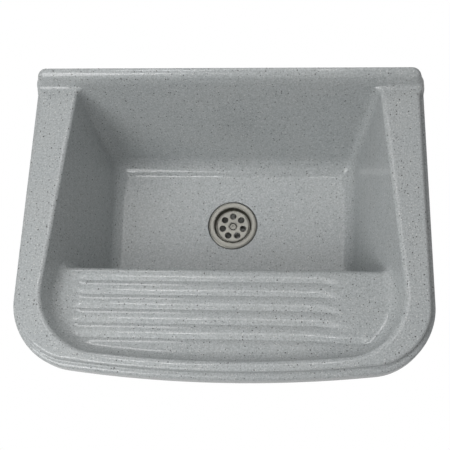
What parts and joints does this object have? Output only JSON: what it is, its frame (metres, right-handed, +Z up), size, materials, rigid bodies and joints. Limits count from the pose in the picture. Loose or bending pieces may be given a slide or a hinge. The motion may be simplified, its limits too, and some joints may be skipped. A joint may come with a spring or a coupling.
{
  "type": "wall-mounted utility sink",
  "caption": "Wall-hung utility sink: a deep tapered well, a ribbed washboard with a plain soap area along the front, a raised back edge, a strainer waste and two steel wall brackets.",
  "frame": {"origin": "on the wall plane, midway across the sink, level with the top of the side rims", "axes": "+X to the right of a user who faces the wall, +Y into the wall, +Z up"},
  "size_m": [0.6188, 0.47, 0.4275],
  "materials": {
    "composite": "satin, finely speckled moulded composite",
    "steel": "brushed",
    "rubber": "matte",
    "waste_plastic": "smooth moulded",
    "brass": "machined",
    "bracket_paint": "powder coated",
    "cap_plastic": "moulded",
    "fixings": "zinc plated"
  },
  "bodies": {
    "sink": {"basin": "composite", "flange_gasket": "rubber", "underside_gasket": "rubber", "waste_body": "waste_plastic", "waste_insert": "brass", "tail_washer": "rubber", "tail_pipe": "waste_plastic", "left_wall_plate": "bracket_paint", "right_wall_plate": "bracket_paint", "left_arm": "bracket_paint", "right_arm": "bracket_paint", "left_brace": "bracket_paint", "right_brace": "bracket_paint", "left_arm_cap": "cap_plastic", "right_arm_cap": "cap_plastic", "support_pads": "rubber", "rim_inserts": "brass", "fixing_bolts": "fixings", "fixing_washers": "fixings"},
    "strainer": {"strainer_dish": "steel"},
    "strainer_screw": {"strainer_screw": "steel"},
    "union_nut": {"union_nut": "waste_plastic"}
  },
  "joints": [
    {"name": "strainer_lift", "type": "slide", "parent": "sink", "child": "strainer", "axis": [0, 0, 1], "range_m": [0, 0.07]},
    {"name": "strainer_screw_turn", "type": "hinge", "parent": "strainer", "child": "strainer_screw", "pos_m": [0, -0.18, -0.2221], "axis": [0, 0, 1], "continuous": true},
    {"name": "union_nut_turn", "type": "hinge", "parent": "sink", "child": "union_nut", "pos_m": [0, -0.18, -0.288], "axis": [0, 0, 1], "continuous": true}
  ]
}
